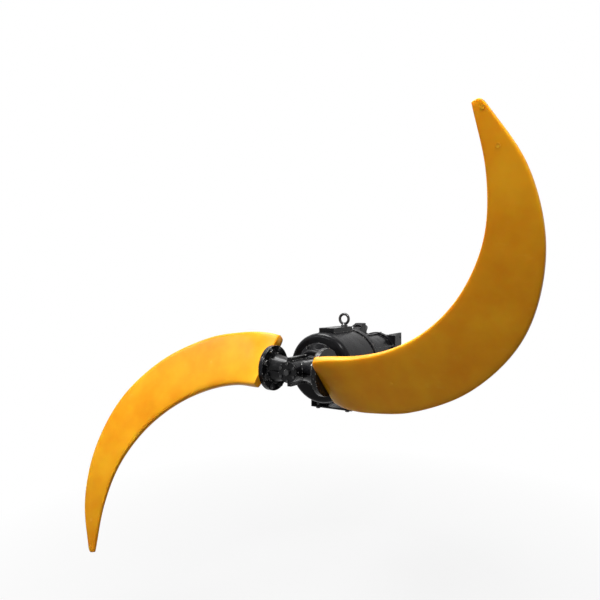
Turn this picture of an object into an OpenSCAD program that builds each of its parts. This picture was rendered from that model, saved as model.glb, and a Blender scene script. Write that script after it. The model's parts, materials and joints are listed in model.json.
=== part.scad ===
// Submersible mixer: a geared motor with two swept blades, hung on a guide rail by a clevis bracket.
// Lengths are in millimetres and angles in degrees. The shaft runs along X, with the propeller towards -X.

/* [Propeller hub] */
// Diameter of the two discs that the blades bolt to
disc_d = 200; // [180:1:230]
// Thickness of each hub disc
disc_t = 12; // [10:1:16]
// Distance from the shaft axis to the inner face of a hub disc
disc_in = 121; // [105:1:140]
// Diameter of the hub boss
hub_d = 92; // [84:1:104]
// Length of the boss ahead of the blade axis
hub_front = 75; // [65:1:90]
// Length of the boss behind the blade axis
hub_back = 90; // [80:1:110]
// Diameter of the two arms
arm_d = 88; // [70:1:96]
// Width of the stiffening webs along the boss
web_t = 20; // [12:1:26]
// Height of a stiffening web above the shaft axis
web_h = 61; // [56:1:72]
// Thickness of the clamping cap on the front of the hub
cap_t = 12; // [8:1:18]
// Bolts around the clamping cap
cap_bolt_n = 6; // [4:1:8]

/* [Blades] */
// Thickness of the steel flange moulded into each blade
root_flange_t = 10; // [8:1:16]
// Bolts in each blade flange
blade_bolt_n = 8; // [6:1:10]
// Bolt circle of each blade flange
blade_pcd = 160; // [150:1:166]
// Shank diameter of the blade bolts
blade_bolt_d = 16; // [12:1:18]
// Rise of the blade tip over the blade axis
blade_size = 889; // [860:1:910]
// Blade thickness at the root
root_th = 46; // [36:1:56]
// Blade thickness at the tip
tip_th = 14; // [8:1:20]
// Blade pitch at the root
root_pitch = 44.5; // [38:0.5:50]
// Blade pitch at the tip
tip_pitch = 20.5; // [14:0.5:28]
// How far the blade leans forward for each unit of its reach
blade_rake = 0.2; // [0:0.01:0.25]
// Distance of the middle of the root ahead of the blade axis
root_fore = 50; // [40:1:60]
// Distance of the untwisted blade ahead of the blade axis
blade_fore = 26; // [10:1:40]

/* [Gearbox] */
// Gap between the hub and the seal housing, filled by the seal collar
collar_len = 15; // [12:1:24]
// Radius of the seal housing
nose_r = 75; // [70:1:84]
// Length of the straight seal housing
nose_len = 41; // [38:1:50]
// Length of the cone behind it
cone_len = 15; // [12:1:22]
// Radius of the seal housing flange
nose_flange_r = 104; // [100:1:110]
// Thickness of the seal housing flange
nose_flange_t = 13; // [12:1:18]
// Outer radius of the gearbox shell
bell_r = 163; // [158:1:172]
// Drop of the shell centre below the shaft axis
bell_drop = 15; // [12:1:18]
// Length of the shell up to its flange
bell_len = 280; // [270:1:300]
// Wall of the gearbox shell
bell_wall = 10; // [8:1:12]
// Front wall of the gearbox shell
front_wall = 14; // [12:1:18]
// Edge radius of the shell shoulder
shoulder_r = 24; // [12:1:30]
// Overhang of the joint flange past the shell
flange_lip = 5; // [2:1:17]
// Thickness of each half of the joint flange
flange_t = 19; // [16:1:24]
// Bolts around the joint flange
flange_bolt_n = 12; // [8:1:16]

/* [Gears] */
// Face width of the motor stage
face1 = 25; // [20:1:30]
// Face width of the output stage
face2 = 37; // [30:1:40]
// Thinning of each tooth for backlash
backlash = 0.3; // [0.2:0.05:0.4]

/* [Motor] */
// Outer radius of the motor shell
motor_r = 103; // [101:1:112]
// Wall of the motor shell
motor_wall = 8; // [6:1:10]
// Length of the motor shell
motor_len = 337; // [330:1:380]
// Overhang of the motor shell end flanges
motor_lip = 12; // [10:1:18]
// Thickness of the motor shell end flanges
motor_flange_t = 12; // [10:1:16]
// Thickness of the rear motor cover
cover_t = 12; // [10:1:18]
// Length of the stator core
core_len = 180; // [150:1:190]
// Bore radius of the stator core
core_bore = 55; // [52:0.5:58]
// Air gap between rotor and stator
air_gap = 0.5; // [0.4:0.1:1]
// Height of the ribs along the motor shell
rib_h = 8; // [5:1:10]

/* [Bracket] */
// Width of the rear plate and of the base
base_w = 220; // [206:1:240]
// Thickness of the rear plate
rear_t = 27; // [22:1:32]
// Height of the rear plate above the shaft axis
rear_top = 99; // [96:1:110]
// Depth of the base below the shaft axis
base_z = 223; // [215:1:240]
// Thickness of the bracket plate
bracket_t = 8; // [8:1:14]
// Depth of the bracket below the shaft axis
bracket_low = 111; // [105:1:120]
// Clear width between the cheeks
cheek_gap = 118; // [112:1:126]
// Thickness of each cheek
cheek_t = 10; // [8:1:14]
// Length of the cheeks behind the bracket plate
cheek_len = 172; // [165:1:200]
// Diameter of the guide pin bore
pin_d = 17; // [14:0.5:20]
// Thickness of the guide pads
pad_t = 8; // [6:1:10]

/* [Base and lifting pad] */
// Plate thickness of the base rails
rail_t = 8; // [6:1:12]
// Height of the base rails
rail_h = 43; // [38:1:44]
// Width of the foot of each rail
foot_w = 60; // [52:1:64]
// Thickness of the saddle plates and rear gussets
side_t = 10; // [8:1:12]
// Height of the lifting pad above the shell
lift_h = 20; // [16:1:28]
// Length of the lifting pad
lift_len = 198; // [192:1:215]
// Width of the lifting pad
lift_w = 80; // [60:1:90]
// Distance from the ends of the lifting pad to its outer holes
lift_margin = 12; // [11:1:18]
// Diameter of the lifting pad holes
lift_d = 16; // [14:1:18]
// Inner diameter of the lifting eye
eye_d = 35; // [30:1:40]

/* [Cable] */
// Diameter of the motor lead
lead_d = 22; // [16:1:24]
// Width of the cable inlet
inlet_w = 48; // [44:1:60]

/* [Fits] */
// Radial clearance of fixed fits
fit = 0.2; // [0.1:0.05:0.3]
// Radial clearance of running fits
run = 0.3; // [0.2:0.05:0.5]

/* [Hidden] */
$fn = 64;
eps = 1;

// Stations along the shaft, counted from the blade axis towards the rear
nose_x = hub_back + collar_len;
cone_x = nose_x + nose_len;
lip_x = cone_x + cone_len;
bell_x = lip_x + nose_flange_t;
joint_x = bell_x + bell_len;
adapter_x = joint_x + flange_t;
motor_x = adapter_x + flange_t;
cover_x = motor_x + motor_len;
rear_x = cover_x + cover_t;
bracket_x = rear_x + rear_t;
cheek_x = bracket_x + bracket_t;
cheek_end = cheek_x + cheek_len;

// The guide pin bore is the origin of the part
pin_x = cheek_end - 22;
pin_z = rear_top - 29;

// Bearings as [x of the front face, width, bore radius, outer radius, balls]
out_front = [nose_x + 19, 22, 30, 55, 10];
out_rear = [bell_x + 12, 20, 25, 45, 9];
rim_depth = 28;
wall_x = adapter_x - 23;
cs_front = [bell_x + front_wall + 2, 16, 15, 31, 9];
cs_rear = [wall_x, 16, 15, 31, 9];
mot_front = [motor_x - 20, 18, 20, 40, 9];
mot_rear = [cover_x - 19, 17, 17.5, 36, 9];

// Gear train: the countershaft lies below the common axis of motor and propeller
// Both stages share one centre distance, so their teeth are set together
pressure = 25;
m1 = 2;
z1 = 14;
z2 = 70;
m2 = 3;
z3 = 11;
z4 = 45;
gear_c = m1 * (z1 + z2) / 2;
gear2_x = bell_x + front_wall + 37;
gear1_x = wall_x - 30 - face1;
shaft_end = gear2_x + face2 + 13;

// Shaft radii
hub_seat_r = 27;
collar_r = 46;
cs_r = 20;
cs_seat_r = 22;
rotor_seat_r = 26;
seal_r = 18;
shaft_front = -hub_front + 8;
key_w = 16;
key_h = 10;

// Gearbox inside
cavity_r = bell_r - bell_wall;
rim_r = cavity_r - 10;
flange_r = bell_r + flange_lip;
flange_pcd_r = rim_r + 8;
seat_r = 50;
seat_len = 13;
shaft_seal_r = 30;
shaft_seal_len = 14;
shaft_hole_r = 24;

// Motor inside
motor_bore = motor_r - motor_wall;
motor_flange_r = motor_r + motor_lip;
motor_pcd_r = motor_r + motor_lip / 2;
motor_hex = motor_lip - 2;
core_x = motor_x + (motor_len - core_len) / 2 - 10;
winding_len = 22;
spigot_t = 12;
spigot_len = 6;
motor_bolt_len = 15;

// Arms widen towards the discs as far as the blade bolts leave room
arm_root_r = blade_pcd / 2 - 0.75 * blade_bolt_d / cos(30) - 2;

// Blade outline: distance out from the blade flange and across the blade
root_s = disc_in + disc_t + root_flange_t;
blade_k = blade_size / 889;
lead_edge = blade_k * [[0, -184], [185, -163], [377, -122], [600, -4], [773, 192], [843, 440], [814, 680], [706, 889]];
trail_edge = blade_k * [[0, 91], [150, 88], [310, 127], [464, 210], [595, 338], [682, 506], [704, 690], [680, 882]];
twist_len = 106;
rake_from = 235;
rake_soft = 120;
blade_rings = 42;
blade_sides = 28;

// Cable inlet on top of the motor
inlet_x = motor_x + 28;
inlet_len = 118;
inlet_z = motor_r + 73;
gland_z = motor_r + 46;
gland_len = 30;
lead_x = inlet_x + inlet_len + gland_len;
rear_gland_x = lead_x + 70;
rear_gland_y = 30;
rear_gland_z = motor_r + 11;
lead_route = [
  [lead_x, 0, gland_z], [lead_x + 22, 3, gland_z + 1], [lead_x + 44, 12, gland_z - 3],
  [lead_x + 61, 23, gland_z - 13], [rear_gland_x, rear_gland_y, rear_gland_z + 12],
  [rear_gland_x, rear_gland_y, rear_gland_z]
];

// Base and lifting pad
rail_back = 109;
rail_x = bell_x + rail_back;
rail_top = rail_h - base_z;
saddle_end = joint_x - 4;
gusset_len = 110;
plate_x = rail_x;
plate_gap = 2;
plate_len = rear_x - gusset_len - plate_gap - plate_x;
stud_back = 94;
stud_x = motor_x + stud_back;
stud_dx = 90;
stud_edge = 10;
stud_dy = base_w - 2 * foot_w - 2 * stud_edge;
lift_back = 69;
lift_x = bell_x + lift_back;
lift_pitch = (lift_len - 2 * lift_margin) / 3;
lift_hole_x = lift_x + lift_margin;
pad_top = bell_r - bell_drop + lift_h;
eye_th = 14;

// Guide pads between the cheeks
pad_x = cheek_end - 83;
pad_w = 45;
pad_low = -32;
pad_h = 47;

// Bolts: number, shank radius, width of the head across its flats
nose_bolt_n = 6;
nose_bolt_r = 5;
nose_head_r = 8;
nose_pcd_r = nose_flange_r - 12;
flange_bolt_r = 5;
flange_hex = 16;
flange_head = 7;
flange_grip = 20;
motor_bolt_n = 8;
motor_bolt_r = 4;
bracket_bolt_r = 6;
bracket_hex = 19;
bracket_head = 8;
bracket_grip = 20;
bracket_edge = 20;
bracket_up = 19;
bracket_down = 16;
pad_bolt_r = 4;
pad_hex = 13;
foot_bolt_r = 6;
foot_hex = 19;
foot_head = 8;
foot_nut = 10;
foot_end = 14;
base_bolt_r = 5;
base_hex = 16;
base_head = 7;
cap_bolt_d = 8;
cap_stud_d = 16;
plug_x = joint_x - 60;
plug_r = 10;
plug_hex = 30;

// Moves the model so that the guide pin bore is the origin
module placed() {
  translate([-pin_x, 0, -pin_z]) children();
}

// Rod along X between two stations
module rod_x(r, x0, x1) {
  translate([x0, 0, 0]) rotate([0, 90, 0]) cylinder(r = r, h = x1 - x0);
}

// Rod along Y between two distances
module rod_y(r, y0, y1) {
  translate([0, y0, 0]) rotate([-90, 0, 0]) cylinder(r = r, h = y1 - y0);
}

// Tube along X
module tube_x(r_in, r_out, x0, x1) {
  difference() {
    rod_x(r_out, x0, x1);
    rod_x(r_in, x0 - eps, x1 + eps);
  }
}

// Solid turned about X from [x, radius] points
module turned_x(points) {
  rotate([0, 90, 0]) rotate_extrude() polygon([for (p = points) [p[1], p[0]]]);
}

// Hexagonal prism along X
module hex_x(across, x0, x1) {
  translate([x0, 0, 0]) rotate([0, 90, 0]) cylinder(d = across / cos(30), h = x1 - x0, $fn = 6);
}

// Hexagonal prism along Z
module hex_z(across, height) {
  cylinder(d = across / cos(30), h = height, $fn = 6);
}

// Hex bolt along +X: its head is ahead of x, and its shank runs on behind
module bolt_x(d, x, len) {
  hex_x(1.5 * d, x - 0.65 * d, x);
  rod_x(d / 2, x - eps, x + len);
}

// Copies around X
module around_x(n, r, start = 0) {
  for (i = [0 : n - 1]) rotate([start + i * 360 / n, 0, 0]) translate([0, 0, r]) children();
}

// Copies at the bolts of the seal housing, the joint flange and the motor flanges
module nose_bolt_places() {
  around_x(nose_bolt_n, nose_pcd_r, 180 / nose_bolt_n) children();
}
module flange_bolt_places() {
  around_x(flange_bolt_n, flange_pcd_r, 180 / flange_bolt_n) children();
}
module motor_bolt_places() {
  around_x(motor_bolt_n, motor_pcd_r, 180 / motor_bolt_n) children();
}

// Moves down to the centre of the gearbox shell
module bell_centred() {
  translate([0, 0, -bell_drop]) children();
}

// Plate in the XZ plane between two distances along Y
module plate_xz(points, y0, y1) {
  translate([0, y1, 0]) rotate([90, 0, 0]) linear_extrude(y1 - y0) polygon(points);
}

// Involute tooth form
function inv(a) = tan(a) * 180 / PI - a;
function half_tooth(m, z, r) =
  90 / z - backlash / (m * z) * 180 / PI + inv(pressure)
  - inv(acos(min(1, m * z / 2 * cos(pressure) / r)));
function gear_points(m, z, turn) =
  let (
    rp = m * z / 2,
    low = max(rp * cos(pressure), rp - 1.2 * m),
    high = rp + 0.95 * m,
    root = rp - 1.2 * m,
    steps = 4,
    flank = [for (i = [0 : steps]) low + (high - low) * i / steps]
  )
  [
    for (k = [0 : z - 1])
      let (
        mid = turn + k * 360 / z,
        up = [for (r = flank) [r, mid - half_tooth(m, z, r)]],
        down = [for (i = [steps : -1 : 0]) [flank[i], mid + half_tooth(m, z, flank[i])]],
        foot0 = [[root, mid - half_tooth(m, z, low)]],
        foot1 = [[root, mid + half_tooth(m, z, low)]],
        tooth = low > root + 0.01 ? concat(foot0, up, down, foot1) : concat(up, down)
      )
      for (p = tooth) [p[0] * cos(p[1]), p[0] * sin(p[1])]
  ];
module gear_x(m, z, turn, x, face) {
  translate([x, 0, 0]) rotate([0, 90, 0]) linear_extrude(face) polygon(gear_points(m, z, turn));
}

// Moves down to the countershaft
module at_countershaft() {
  translate([0, 0, -gear_c]) children();
}

// Rolling bearing, in three parts
module bearing_outer(b) {
  tube_x(b[3] - (b[3] - b[2]) * 0.3, b[3], b[0], b[0] + b[1]);
}
module bearing_inner(b) {
  tube_x(b[2] + fit, b[2] + (b[3] - b[2]) * 0.3, b[0], b[0] + b[1]);
}
module bearing_balls(b) {
  ball_r = (b[3] - b[2]) * 0.2 - run;
  around_x(b[4], (b[2] + b[3]) / 2) translate([b[0] + b[1] / 2, 0, 0]) sphere(r = ball_r);
}

// Smooth curve through a list of points
function on_curve(p, u) =
  let (
    n = len(p) - 1,
    i = min(n - 1, floor(u * n)),
    f = u * n - i,
    a = i > 0 ? p[i - 1] : 2 * p[0] - p[1],
    d = i < n - 1 ? p[i + 2] : 2 * p[n] - p[n - 1],
    b = p[i],
    c = p[i + 1]
  )
  (2 * b + (c - a) * f + (2 * a - 5 * b + 4 * c - d) * f * f + (3 * b - a - 3 * c + d) * f * f * f) / 2;

// Closed solid through a list of rings
function ring_faces(rings, sides) = concat(
  [[for (k = [sides - 1 : -1 : 0]) k]],
  [for (j = [0 : rings - 2]) for (k = [0 : sides - 1])
    each [
      [j * sides + k, j * sides + (k + 1) % sides, (j + 1) * sides + (k + 1) % sides],
      [j * sides + k, (j + 1) * sides + (k + 1) % sides, (j + 1) * sides + k]
    ]],
  [[for (k = [0 : sides - 1]) (rings - 1) * sides + k]]
);
function unit(v) = v / norm(v);

// Blade surface: reach out from the flange and width across become a place in space
function lean(reach) = (reach - rake_from + norm([reach - rake_from, rake_soft])) / 2;
function blade_place(q) =
  let (
    fade = exp(-q[0] / twist_len),
    pitch = tip_pitch + (root_pitch - tip_pitch) * fade,
    fore = blade_fore + (root_fore - blade_fore) * fade + blade_rake * (lean(q[0]) - lean(0))
  )
  [-fore - q[1] * sin(pitch), -root_s - q[0], q[1] * cos(pitch)];
function blade_mid(u) = (blade_place(on_curve(lead_edge, u)) + blade_place(on_curve(trail_edge, u))) / 2;
function power(v, p) = sign(v) * pow(abs(v), p);
function blade_ring(u) =
  let (
    a = blade_place(on_curve(lead_edge, u)),
    b = blade_place(on_curve(trail_edge, u)),
    ahead = min(1, u + 0.02),
    behind = max(0, u - 0.02),
    mix = min(1, u * 6),
    along = unit([0, -1, 0] * (1 - mix) + unit(blade_mid(ahead) - blade_mid(behind)) * mix),
    up = unit(cross(b - a, along)),
    th = root_th + (tip_th - root_th) * u
  )
  [
    for (k = [0 : blade_sides - 1])
      let (w = 360 * k / blade_sides)
      (a + b) / 2 + (b - a) / 2 * power(cos(w), 0.25) + up * th / 2 * power(sin(w), 0.4)
  ];
module blade() {
  rings = [for (j = [0 : blade_rings - 1]) blade_ring(j / (blade_rings - 1))];
  polyhedron([for (r = rings) each r], ring_faces(blade_rings, blade_sides));
}

// Gearbox
module gearbox_shell() {
  corner = [for (w = [0 : 15 : 90])
    [bell_x + shoulder_r - shoulder_r * cos(w), bell_r - shoulder_r + shoulder_r * sin(w)]];
  inside_x = bell_x + front_wall;
  placed() color("#17181a") difference() {
    union() {
      bell_centred() difference() {
        turned_x(concat(
          [[bell_x, 0]], corner,
          [
            [joint_x - 9, bell_r], [joint_x - 9, bell_r - 3], [joint_x, bell_r - 3],
            [joint_x, flange_r], [adapter_x, flange_r], [adapter_x, 0]
          ]
        ));
        rod_x(cavity_r, inside_x, adapter_x - rim_depth);
        rod_x(rim_r, inside_x, adapter_x + eps);
        flange_bolt_places() rod_x(flange_bolt_r + fit, adapter_x - 22, adapter_x + eps);
      }
      rod_x(out_rear[3] + 13, inside_x - eps, out_rear[0] + out_rear[1] + 2);
      at_countershaft() rod_x(cs_front[3] + 9, inside_x - eps, cs_front[0] + cs_front[1] + 2);
    }
    rod_x(out_rear[3] + fit, bell_x - eps, out_rear[0] + out_rear[1] + 2 + eps);
    at_countershaft() rod_x(cs_front[3] + fit, cs_front[0] - 2, cs_front[0] + cs_front[1] + 2 + eps);
    nose_bolt_places() rod_x(nose_bolt_r + fit, bell_x - eps, bell_x + front_wall - 2);
    translate([plug_x, -bell_r, -bell_drop]) rod_y(plug_r + fit, -eps, bell_wall + 5);
  }
}
module nose_cover() {
  edge = 9;
  round_edge = [for (w = [0 : 30 : 90])
    [nose_x + edge - edge * cos(w), nose_r - edge + edge * sin(w)]];
  placed() color("#17181a") difference() {
    turned_x(concat(
      [[nose_x, 0]], round_edge,
      [[cone_x, nose_r], [lip_x, nose_flange_r], [bell_x, nose_flange_r], [bell_x, 0]]
    ));
    rod_x(seat_r + fit, nose_x - eps, nose_x + seat_len);
    rod_x(seat_r - 10, nose_x, out_front[0] + eps);
    rod_x(out_front[3] + fit, out_front[0], bell_x + eps);
    nose_bolt_places() {
      rod_x(nose_bolt_r + fit, cone_x - eps, bell_x + eps);
      rod_x(nose_head_r + 1, cone_x - 12, lip_x + 2);
    }
  }
}
module nose_bolts() {
  placed() color("#3a3b3d") nose_bolt_places() {
    rod_x(nose_head_r, lip_x - 8, lip_x + 2);
    rod_x(nose_bolt_r, lip_x, bell_x + front_wall - 3);
  }
}
module seal_seat() {
  placed() color("#6b6e70") tube_x(hub_seat_r + 3, seat_r, nose_x, nose_x + seat_len);
}
module top_pad() {
  placed() color("#1b1c1e") difference() {
    translate([lift_x, -lift_w / 2, 0]) cube([lift_len, lift_w, pad_top]);
    bell_centred() rod_x(bell_r + fit, lift_x - eps, lift_x + lift_len + eps);
    for (i = [0 : 3]) translate([lift_hole_x + i * lift_pitch, 0, bell_r - bell_drop - 5])
      cylinder(d = lift_d, h = pad_top);
  }
}
module eye_bolt() {
  ring_r = (eye_d + eye_th) / 2;
  collar_d = 34;
  collar_h = 7;
  placed() color("#202123") translate([lift_hole_x + 3 * lift_pitch, 0, pad_top]) {
    translate([0, 0, -17]) cylinder(d = lift_d - 2 * fit, h = 18);
    cylinder(r = collar_d / 2, h = collar_h);
    translate([0, 0, collar_h - eps]) cylinder(r1 = eye_th, r2 = eye_th / 2, h = collar_h + eps);
    translate([0, 0, collar_h + ring_r + eye_th / 2 - 2]) rotate([0, 90, 0])
      rotate_extrude() translate([ring_r, 0]) circle(d = eye_th);
  }
}
module oil_plug() {
  placed() color("#3a3b3d") translate([plug_x, -bell_r, -bell_drop]) {
    rod_y(plug_r, -2, bell_wall);
    translate([0, -13, 0]) rotate([-90, 0, 0]) hex_z(plug_hex, 12);
    rod_y(plug_r + 7, -2, -1);
  }
}
module motor_adapter() {
  placed() color("#17181a") difference() {
    union() {
      bell_centred() rod_x(flange_r, adapter_x, motor_x);
      bell_centred() rod_x(rim_r - fit, wall_x, adapter_x + eps);
      rod_x(motor_bore - fit, motor_x - eps, motor_x + spigot_len);
    }
    rod_x(motor_bore - spigot_t, motor_x, motor_x + spigot_len + 1);
    rod_x(mot_front[3] + fit, mot_front[0], motor_x + spigot_len + 1);
    rod_x(shaft_hole_r, wall_x - eps, motor_x);
    rod_x(shaft_seal_r + fit, wall_x - eps, wall_x + shaft_seal_len);
    at_countershaft() rod_x(cs_rear[3] + fit, wall_x - eps, cs_rear[0] + cs_rear[1] + 2);
    bell_centred() flange_bolt_places() rod_x(flange_bolt_r + fit, adapter_x - eps, motor_x + eps);
    motor_bolt_places() rod_x(motor_bolt_r + fit, motor_x - motor_bolt_len, motor_x + eps);
  }
}
module flange_bolts() {
  placed() color("#3a3b3d") bell_centred() flange_bolt_places() {
    hex_x(flange_hex, motor_x, motor_x + flange_head);
    rod_x(flange_bolt_r, adapter_x - flange_grip, motor_x + eps);
  }
}
module shaft_seal() {
  placed() color("#222222") tube_x(seal_r + run, shaft_seal_r, wall_x + 2, wall_x + shaft_seal_len);
}

// Motor
module motor_shell() {
  placed() color("#1a1b1d") difference() {
    union() {
      rod_x(motor_r, motor_x, cover_x);
      rod_x(motor_flange_r, motor_x, motor_x + motor_flange_t);
      rod_x(motor_flange_r, cover_x - motor_flange_t, cover_x);
      for (i = [0 : 5]) {
        start = i == 1 ? inlet_x + inlet_len + 6 : motor_x + motor_flange_t + 12;
        rotate([8 - 60 * (i - 1), 0, 0])
          translate([start, -6, motor_r - 3]) cube([cover_x - motor_flange_t - 12 - start, 12, rib_h + 3]);
      }
    }
    rod_x(motor_bore, motor_x - eps, cover_x + eps);
    motor_bolt_places() {
      rod_x(motor_bolt_r + fit, motor_x - eps, motor_x + motor_flange_t + eps);
      rod_x(motor_bolt_r + fit, cover_x - motor_flange_t - eps, cover_x + eps);
    }
  }
}
module motor_bolts() {
  placed() color("#3a3b3d") motor_bolt_places() {
    hex_x(motor_hex, motor_x + motor_flange_t, motor_x + motor_flange_t + 6);
    rod_x(motor_bolt_r, motor_x - 13, motor_x + motor_flange_t + eps);
    hex_x(motor_hex, cover_x - motor_flange_t - 6, cover_x - motor_flange_t);
    rod_x(motor_bolt_r, cover_x - motor_flange_t - eps, cover_x + cover_t - 2);
  }
}
module motor_end_cover() {
  placed() color("#1a1b1d") difference() {
    union() {
      rod_x(motor_flange_r, cover_x, rear_x);
      tube_x(motor_bore - 10, motor_bore - fit, cover_x - 6, cover_x + eps);
      rod_x(mot_rear[3] + 12, mot_rear[0] - 2, cover_x + eps);
    }
    rod_x(mot_rear[3] + fit, mot_rear[0] - 3, mot_rear[0] + mot_rear[1]);
    rod_x(mot_rear[2] + 5, mot_rear[0], cover_x + 4);
    motor_bolt_places() rod_x(motor_bolt_r + fit, cover_x - eps, rear_x - 1);
  }
}
module stator_core() {
  placed() color("#7c8288") tube_x(core_bore, motor_bore - fit, core_x, core_x + core_len);
}
module stator_windings() {
  placed() color("#b4682c") for (x = [core_x - winding_len, core_x + core_len])
    tube_x(core_bore + 6, motor_bore - 8, x, x + winding_len);
}
module cable_inlet() {
  placed() color("#1a1b1d") difference() {
    plate_xz([
      [inlet_x, 0], [inlet_x, motor_r + 9], [inlet_x + 80, inlet_z], [inlet_x + inlet_len, inlet_z],
      [inlet_x + inlet_len, 0]
    ], -inlet_w / 2, inlet_w / 2);
    rod_x(motor_r + fit, inlet_x - eps, inlet_x + inlet_len + eps);
    translate([0, 0, gland_z]) rod_x(lead_d / 2 + fit, inlet_x + 60, inlet_x + inlet_len + eps);
  }
}
module inlet_gland() {
  x = inlet_x + inlet_len;
  placed() color("#55585b") translate([0, 0, gland_z]) difference() {
    union() {
      hex_x(42, x, x + 14);
      rod_x(18, x + 13, x + gland_len);
    }
    rod_x(lead_d / 2 - 3, x - eps, x + gland_len + eps);
  }
}
module rear_gland() {
  placed() color("#55585b") difference() {
    translate([rear_gland_x, rear_gland_y, 0]) {
      cylinder(r = 17, h = rear_gland_z);
      translate([0, 0, rear_gland_z - 11]) hex_z(40, 7);
    }
    rod_x(motor_r + fit, inlet_x, cover_x);
    translate([rear_gland_x, rear_gland_y, 0]) cylinder(r = lead_d / 2 - 3, h = rear_gland_z + eps);
  }
}
module motor_lead() {
  sides = 12;
  rings = 17;
  points = [for (j = [0 : rings - 1]) on_curve(lead_route, j / (rings - 1))];
  function heading(j) =
    j == 0 ? [1, 0, 0] : j == rings - 1 ? [0, 0, -1] : unit(points[j + 1] - points[j - 1]);
  placed() color("#131313") polyhedron(
    [for (j = [0 : rings - 1])
      let (
        h = heading(j),
        v = unit(cross(h, [0.3, 1, 0] - h * (h * [0.3, 1, 0]))),
        w = cross(v, h)
      )
      for (k = [0 : sides - 1])
        points[j] + lead_d / 2 * (cos(360 * k / sides) * w + sin(360 * k / sides) * v)],
    ring_faces(rings, sides)
  );
}

// Bracket that slides on the guide rail
module rear_plate() {
  placed() color("#17181a") difference() {
    translate([rear_x, -base_w / 2, -base_z]) cube([rear_t, base_w, base_z + rear_top]);
    bracket_bolt_places() rod_x(bracket_bolt_r + fit, bracket_x - bracket_grip - 2, bracket_x + eps);
  }
}
module bracket_bolt_places() {
  for (y = [-1, 1], z = [rear_top - bracket_up, 0, bracket_down - bracket_low])
    translate([0, y * (base_w / 2 - bracket_edge), z]) children();
}
module bracket_plate() {
  placed() color("#17181a") difference() {
    translate([bracket_x, -base_w / 2, -bracket_low]) cube([bracket_t, base_w, bracket_low + rear_top]);
    bracket_bolt_places() rod_x(bracket_bolt_r + fit, bracket_x - eps, cheek_x + eps);
  }
}
module bracket_bolts() {
  placed() color("#3a3b3d") bracket_bolt_places() {
    hex_x(bracket_hex, cheek_x, cheek_x + bracket_head);
    rod_x(bracket_bolt_r, bracket_x - bracket_grip, cheek_x + eps);
  }
}
module pad_bolt_places() {
  for (x = [9, pad_w - 9]) translate([pad_x + x, 0, pad_low + pad_h - 11]) children();
}
module cheek(y0) {
  difference() {
    plate_xz([
      [cheek_x, rear_top + 2], [cheek_end, rear_top + 2], [cheek_end, pin_z - 38],
      [cheek_end - 95, -bracket_low], [cheek_x, -bracket_low]
    ], y0, y0 + cheek_t);
    translate([pin_x, 0, pin_z]) rod_y(pin_d / 2, y0 - eps, y0 + cheek_t + eps);
    pad_bolt_places() rod_y(pad_bolt_r + fit, y0 - eps, y0 + cheek_t + eps);
  }
}
module near_cheek() {
  placed() color("#1b1c1e") cheek(-cheek_gap / 2 - cheek_t);
}
module far_cheek() {
  placed() color("#1b1c1e") cheek(cheek_gap / 2);
}
module guide_pads() {
  placed() color("#232426") for (y = [-cheek_gap / 2, cheek_gap / 2 - pad_t]) difference() {
    translate([pad_x, y, pad_low]) cube([pad_w, pad_t, pad_h]);
    pad_bolt_places() rod_y(pad_bolt_r + fit, y - eps, y + pad_t + eps);
  }
}
module pad_bolts() {
  out = cheek_gap / 2 + cheek_t;
  placed() color("#3a3b3d") pad_bolt_places() for (s = [0, 180]) rotate([0, 0, s]) {
    translate([0, -out - 5, 0]) rotate([-90, 0, 0]) hex_z(pad_hex, 5);
    rod_y(pad_bolt_r, -out - eps, -cheek_gap / 2 + pad_t - 1);
  }
}

// Base
module rail(side) {
  outer = base_w / 2;
  mirror([0, side > 0 ? 1 : 0, 0]) difference() {
    union() {
      translate([rail_x, -outer, -base_z]) cube([rear_x - rail_x, rail_t, rail_h]);
      translate([rail_x, -outer, -base_z]) cube([rear_x - rail_x, foot_w, rail_t]);
    }
    foot_places() cylinder(r = foot_bolt_r + fit, h = 3 * base_z, center = true);
  }
}
module foot_places() {
  for (x = [rail_x + 18, saddle_end - 12]) translate([x, -base_w / 2 + foot_w / 2, 0]) children();
}
module near_rail() {
  placed() color("#17181a") rail(-1);
}
module far_rail() {
  placed() color("#17181a") rail(1);
}
module saddle() {
  top = -sqrt(bell_r * bell_r - pow(base_w / 2 - side_t / 2, 2)) - bell_drop + 12;
  difference() {
    translate([rail_x, -base_w / 2, rail_top]) cube([saddle_end - rail_x, side_t, top - rail_top]);
    bell_centred() rod_x(bell_r + fit, rail_x - eps, saddle_end + eps);
  }
}
module near_saddle() {
  placed() color("#17181a") saddle();
}
module far_saddle() {
  placed() color("#17181a") mirror([0, 1, 0]) saddle();
}
module side_gusset() {
  leg_x = rear_x - gusset_len;
  leg_w = 24;
  leg_top = rail_top + 40;
  plate_xz([
    [leg_x, rail_top], [leg_x, leg_top], [leg_x + 50, leg_top], [rear_x, leg_top + 45], [rear_x, rail_top],
    [rear_x - 34, rail_top], [leg_x + leg_w, leg_top - 26], [leg_x + leg_w, rail_top]
  ], -base_w / 2, -base_w / 2 + side_t);
}
module near_gusset() {
  placed() color("#17181a") side_gusset();
}
module far_gusset() {
  placed() color("#17181a") mirror([0, 1, 0]) side_gusset();
}
module stud_places() {
  for (x = [-1, 1], y = [-1, 1])
    translate([stud_x + x * stud_dx / 2, y * stud_dy / 2, -base_z]) children();
}
module base_plate() {
  half = base_w / 2 - foot_w;
  placed() color("#17181a") difference() {
    translate([plate_x, -half, -base_z]) cube([plate_len, 2 * half, rail_t]);
    stud_places() translate([0, 0, -eps]) cylinder(r = base_bolt_r + fit, h = rail_t + 2 * eps);
  }
}
module base_bolts() {
  placed() color("#3a3b3d") stud_places() {
    cylinder(r = base_bolt_r, h = rail_t + eps);
    translate([0, 0, rail_t]) hex_z(base_hex, base_head);
  }
}
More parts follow.
